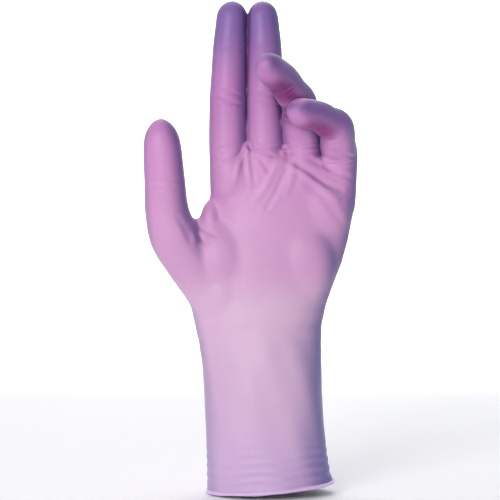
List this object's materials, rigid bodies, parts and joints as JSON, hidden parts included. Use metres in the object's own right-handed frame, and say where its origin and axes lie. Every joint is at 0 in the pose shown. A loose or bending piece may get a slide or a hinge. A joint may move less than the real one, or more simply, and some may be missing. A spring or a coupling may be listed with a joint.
{
  "type": "long-cuff dipped glove",
  "caption": "Hollow thin-film glove with a long flared cuff and rolled bead, in a worn pose: index and middle fingers straight, ring and little fingers half bent.",
  "frame": {"origin": "centre of the cuff mouth, where the wrist goes in", "axes": "+Z from the cuff to the fingertips, palm towards -Y, thumb towards -X"},
  "size_m": [0.1315, 0.0818, 0.3041],
  "materials": {
    "palm_film": "satin, thin dipped film",
    "cuff_film": "satin, thin dipped film",
    "finger_film": "satin, thin dipped film",
    "tip_film": "satin, thin dipped film",
    "fold_film": "satin, creased film",
    "bead_film": "satin, rolled film"
  },
  "bodies": {
    "cuff_body": {"cuff_bead": "bead_film", "cuff": "cuff_film", "wrist_fold": "fold_film"},
    "palm_body": {"palm": "palm_film", "thumb_root_fold": "fold_film", "index_root_fold": "fold_film", "middle_root_fold": "fold_film", "ring_root_fold": "fold_film", "little_root_fold": "fold_film"},
    "thumb_lower": {"thumb_stall": "finger_film", "thumb_knuckle_fold": "fold_film"},
    "thumb_upper": {"thumb_tip": "tip_film"},
    "index_lower": {"index_stall": "finger_film", "index_middle_fold": "fold_film"},
    "index_mid": {"index_middle_stall": "finger_film", "index_tip_fold": "fold_film"},
    "index_end": {"index_tip": "tip_film"},
    "middle_lower": {"middle_stall": "finger_film", "middle_middle_fold": "fold_film"},
    "middle_mid": {"middle_middle_stall": "finger_film", "middle_tip_fold": "fold_film"},
    "middle_end": {"middle_tip": "tip_film"},
    "ring_lower": {"ring_stall": "finger_film", "ring_middle_fold": "fold_film"},
    "ring_mid": {"ring_middle_stall": "finger_film", "ring_tip_fold": "fold_film"},
    "ring_end": {"ring_tip": "tip_film"},
    "little_lower": {"little_stall": "finger_film", "little_middle_fold": "fold_film"},
    "little_mid": {"little_middle_stall": "finger_film", "little_tip_fold": "fold_film"},
    "little_end": {"little_tip": "tip_film"}
  },
  "joints": [
    {"name": "wrist_bend", "type": "hinge", "parent": "cuff_body", "child": "palm_body", "pos_m": [0, 0, 0.097], "axis": [1, 0, 0], "range_deg": [-35, 45], "deforming": ["wrist_fold"]},
    {"name": "thumb_root", "type": "hinge", "parent": "palm_body", "child": "thumb_lower", "pos_m": [-0.05955, -0.00889, 0.1558], "axis": [-0.7017, -0.7017, -0.1234], "range_deg": [-35, 20], "deforming": ["thumb_root_fold"]},
    {"name": "thumb_knuckle", "type": "hinge", "parent": "thumb_lower", "child": "thumb_upper", "pos_m": [-0.0608, -0.01713, 0.18767], "axis": [-0.7017, -0.7017, -0.1234], "range_deg": [-55, 12], "deforming": ["thumb_knuckle_fold"]},
    {"name": "index_root", "type": "hinge", "parent": "palm_body", "child": "index_lower", "pos_m": [-0.0261, -0.009, 0.21391], "axis": [1, 0, 0], "range_deg": [-15, 70], "deforming": ["index_root_fold"]},
    {"name": "index_middle", "type": "hinge", "parent": "index_lower", "child": "index_mid", "pos_m": [-0.02586, -0.00996, 0.24137], "axis": [0.9997, 0.0007, -0.0262], "range_deg": [0, 80], "deforming": ["index_middle_fold"]},
    {"name": "index_tip", "type": "hinge", "parent": "index_mid", "child": "index_end", "pos_m": [-0.02458, -0.01047, 0.27071], "axis": [0.9986, 0, -0.0523], "range_deg": [0, 48], "deforming": ["index_tip_fold"]},
    {"name": "middle_root", "type": "hinge", "parent": "palm_body", "child": "middle_lower", "pos_m": [-0.0031, -0.009, 0.21591], "axis": [1, 0, 0], "range_deg": [-12, 6], "deforming": ["middle_root_fold"]},
    {"name": "middle_middle", "type": "hinge", "parent": "middle_lower", "child": "middle_mid", "pos_m": [-0.0031, -0.00994, 0.24269], "axis": [1, -0.0002, 0.0044], "range_deg": [0, 34], "deforming": ["middle_middle_fold"]},
    {"name": "middle_tip", "type": "hinge", "parent": "middle_mid", "child": "middle_end", "pos_m": [-0.00335, -0.01093, 0.27132], "axis": [0.9994, -0.0006, 0.0349], "range_deg": [0, 20.4], "deforming": ["middle_tip_fold"]},
    {"name": "ring_root", "type": "hinge", "parent": "palm_body", "child": "ring_lower", "pos_m": [0.01907, -0.00878, 0.20994], "axis": [-0.9776, 0.2103, 0], "range_deg": [-18, 20], "deforming": ["ring_root_fold"]},
    {"name": "ring_middle", "type": "hinge", "parent": "ring_lower", "child": "ring_mid", "pos_m": [0.01465, -0.01751, 0.2327], "axis": [-0.7341, 0.6436, 0.2163], "range_deg": [-32.4, 36], "deforming": ["ring_middle_fold"]},
    {"name": "ring_tip", "type": "hinge", "parent": "ring_mid", "child": "ring_end", "pos_m": [0.00501, -0.03317, 0.24446], "axis": [-0.778, 0.6125, 0.1401], "range_deg": [-12.6, 14], "deforming": ["ring_tip_fold"]},
    {"name": "little_root", "type": "hinge", "parent": "palm_body", "child": "little_lower", "pos_m": [0.04209, -0.00859, 0.20115], "axis": [-0.9883, 0.1523, 0], "range_deg": [-18, 20], "deforming": ["little_root_fold"]},
    {"name": "little_middle", "type": "hinge", "parent": "little_lower", "child": "little_mid", "pos_m": [0.03611, -0.02006, 0.2178], "axis": [-0.3515, 0.7093, 0.6109], "range_deg": [-23.4, 26], "deforming": ["little_middle_fold"]},
    {"name": "little_tip", "type": "hinge", "parent": "little_mid", "child": "little_end", "pos_m": [0.02603, -0.03058, 0.22206], "axis": [-0.5065, 0.7652, 0.3974], "range_deg": [-12.6, 14], "deforming": ["little_tip_fold"]}
  ],
  "couplings": [
    {"joint": "index_tip", "follows": "index_middle", "ratio": 0.6},
    {"joint": "middle_tip", "follows": "middle_middle", "ratio": 0.6},
    {"joint": "ring_middle", "follows": "ring_root", "ratio": 1.8},
    {"joint": "ring_tip", "follows": "ring_root", "ratio": 0.7},
    {"joint": "little_root", "follows": "ring_root", "ratio": 1},
    {"joint": "little_middle", "follows": "ring_root", "ratio": 1.3},
    {"joint": "little_tip", "follows": "ring_root", "ratio": 0.7}
  ]
}
